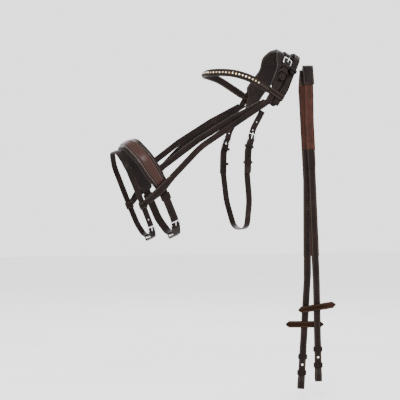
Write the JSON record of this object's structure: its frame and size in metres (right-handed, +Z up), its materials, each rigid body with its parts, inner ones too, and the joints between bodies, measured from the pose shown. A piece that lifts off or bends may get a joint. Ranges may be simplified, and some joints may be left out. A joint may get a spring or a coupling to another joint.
{
  "type": "bitless bridle with reins",
  "caption": "Dark brown leather bitless bridle with padded crown, stone-set browband, wide padded noseband, jaw and chin straps, throatlatch and reins with webbing grips",
  "frame": {"origin": "middle of the crown pad's underside, where it rests on the horse's poll", "axes": "+Z up, -X towards the horse's nose, -Y the horse's near (left) side"},
  "size_m": [0.5063, 0.1882, 0.7726],
  "materials": {
    "strap_leather": "dark brown bridle leather, waxed, edges dyed and polished",
    "padded_leather": "soft dark brown padded leather, slightly matt",
    "raised_leather": "raised and fancy-stitched dark red-brown leather, glossy",
    "rein_web": "ribbed red-brown webbing",
    "stone_channel": "dark leather channel with stitched edges",
    "crystal": "alternating clear and pale gold faceted stones",
    "buckle_metal": "bright polished stainless steel"
  },
  "bodies": {
    "bridle": {"rear_keepers": "strap_leather", "front_fixed_keeper": "strap_leather", "front_buckle_frame": "buckle_metal", "rear_buckle_frame": "buckle_metal", "crown_pad": "padded_leather", "rear_crown_strap": "strap_leather", "near_rear_strap": "strap_leather", "chin_strap": "strap_leather", "chin_buckle_frame": "buckle_metal", "chin_keeper": "strap_leather", "near_jaw_strap": "strap_leather", "off_jaw_strap": "strap_leather", "jaw_buckle_frame": "buckle_metal", "jaw_keeper": "strap_leather", "near_connector": "strap_leather", "off_connector": "strap_leather", "side_keepers": "strap_leather", "near_upper_cheek_strap": "strap_leather", "off_upper_cheek_strap": "strap_leather", "near_cheek_strap": "strap_leather", "front_crown_strap": "strap_leather", "noseband_lining": "padded_leather", "noseband_facing": "raised_leather", "outer_crest_grip": "rein_web", "inner_crest_grip": "rein_web", "hand_stops": "strap_leather"},
    "browband": {"browband": "strap_leather", "browband_channel": "stone_channel", "browband_stones": "crystal"},
    "throatlatch": {"near_throat_billet": "strap_leather", "off_throat_billet": "strap_leather", "throatlatch": "strap_leather", "throat_buckle_frames": "buckle_metal", "throat_keepers": "strap_leather"},
    "front_tongue": {"front_buckle_tongue": "buckle_metal"},
    "rear_tongue": {"rear_buckle_tongue": "buckle_metal"},
    "chin_tongue": {"chin_buckle_tongue": "buckle_metal"},
    "jaw_tongue": {"jaw_buckle_tongue": "buckle_metal"},
    "near_throat_tongue": {"near_throat_tongue": "buckle_metal"},
    "off_throat_tongue": {"off_throat_tongue": "buckle_metal"},
    "front_runner": {"front_runner": "strap_leather"},
    "near_throat_runner": {"near_throat_runner": "strap_leather"},
    "off_throat_runner": {"off_throat_runner": "strap_leather"},
    "outer_rein": {"outer_rein_grip": "rein_web", "outer_rein": "strap_leather", "outer_hook_stud": "buckle_metal", "outer_rein_keepers": "strap_leather"},
    "inner_rein": {"inner_rein_grip": "rein_web", "inner_rein": "strap_leather", "inner_hook_stud": "buckle_metal", "inner_rein_keepers": "strap_leather"},
    "far_reins": {"far_grips": "rein_web", "hand_loop": "strap_leather"},
    "outer_stop": {"outer_rein_stop": "strap_leather"},
    "inner_stop": {"inner_rein_stop": "strap_leather"}
  },
  "joints": [
    {"name": "front_tongue_hinge", "type": "hinge", "parent": "bridle", "child": "front_tongue", "pos_m": [-0.01997, -0.06438, -0.0146], "axis": [0.848, 0, -0.5299], "range_deg": [0, 80]},
    {"name": "rear_tongue_hinge", "type": "hinge", "parent": "bridle", "child": "rear_tongue", "pos_m": [0.01536, -0.008, 0.00685], "axis": [0.848, 0, -0.5299], "range_deg": [0, 80]},
    {"name": "chin_tongue_hinge", "type": "hinge", "parent": "bridle", "child": "chin_tongue", "pos_m": [-0.32832, -0.04315, -0.38904], "axis": [0.9239, 0, 0.3827], "range_deg": [0, 80]},
    {"name": "jaw_tongue_hinge", "type": "hinge", "parent": "bridle", "child": "jaw_tongue", "pos_m": [-0.27618, -0.05017, -0.37658], "axis": [0.9191, 0, 0.3939], "range_deg": [0, 80]},
    {"name": "near_throat_tongue_hinge", "type": "hinge", "parent": "throatlatch", "child": "near_throat_tongue", "pos_m": [-0.11309, -0.08295, -0.18889], "axis": [0.963, 0, -0.2696], "range_deg": [0, 80]},
    {"name": "off_throat_tongue_hinge", "type": "hinge", "parent": "throatlatch", "child": "off_throat_tongue", "pos_m": [-0.11309, 0.08295, -0.18889], "axis": [-0.963, 0, 0.2696], "range_deg": [0, 80]},
    {"name": "front_runner_slide", "type": "slide", "parent": "bridle", "child": "front_runner", "axis": [0.4713, 0.4573, 0.7542], "range_m": [-0.012, 0.01]},
    {"name": "browband_slide", "type": "slide", "parent": "bridle", "child": "browband", "axis": [-0.5299, 0, -0.848], "range_m": [-0.005, 0.005]},
    {"name": "throatlatch_swing", "type": "hinge", "parent": "bridle", "child": "throatlatch", "pos_m": [-0.084, 0, -0.122], "axis": [0, 1, 0], "range_deg": [-12, 12]},
    {"name": "near_throat_runner_slide", "type": "slide", "parent": "throatlatch", "child": "near_throat_runner", "axis": [-0.0192, 0, -0.9998], "range_m": [-0.012, 0.014]},
    {"name": "off_throat_runner_slide", "type": "slide", "parent": "throatlatch", "child": "off_throat_runner", "axis": [-0.0192, 0, -0.9998], "range_m": [-0.012, 0.014]},
    {"name": "outer_rein_lift", "type": "hinge", "parent": "bridle", "child": "outer_rein", "pos_m": [0.03156, -0.07019, -0.072], "axis": [-0.9511, 0.309, 0], "range_deg": [0, 60]},
    {"name": "inner_rein_swing", "type": "hinge", "parent": "bridle", "child": "inner_rein", "pos_m": [0.02827, -0.0586, -0.072], "axis": [0.309, 0.9511, 0], "range_deg": [0, 10]},
    {"name": "far_reins_lift", "type": "hinge", "parent": "bridle", "child": "far_reins", "pos_m": [0.06678, 0.03823, -0.072], "axis": [0.9511, -0.309, 0], "range_deg": [0, 60]},
    {"name": "outer_stop_slide", "type": "slide", "parent": "outer_rein", "child": "outer_stop", "axis": [-0.0197, 0.0064, 0.9998], "range_m": [-0.02, 0.02]},
    {"name": "inner_stop_slide", "type": "slide", "parent": "inner_rein", "child": "inner_stop", "axis": [0.0566, -0.0184, 0.9982], "range_m": [-0.02, 0.02]}
  ]
}
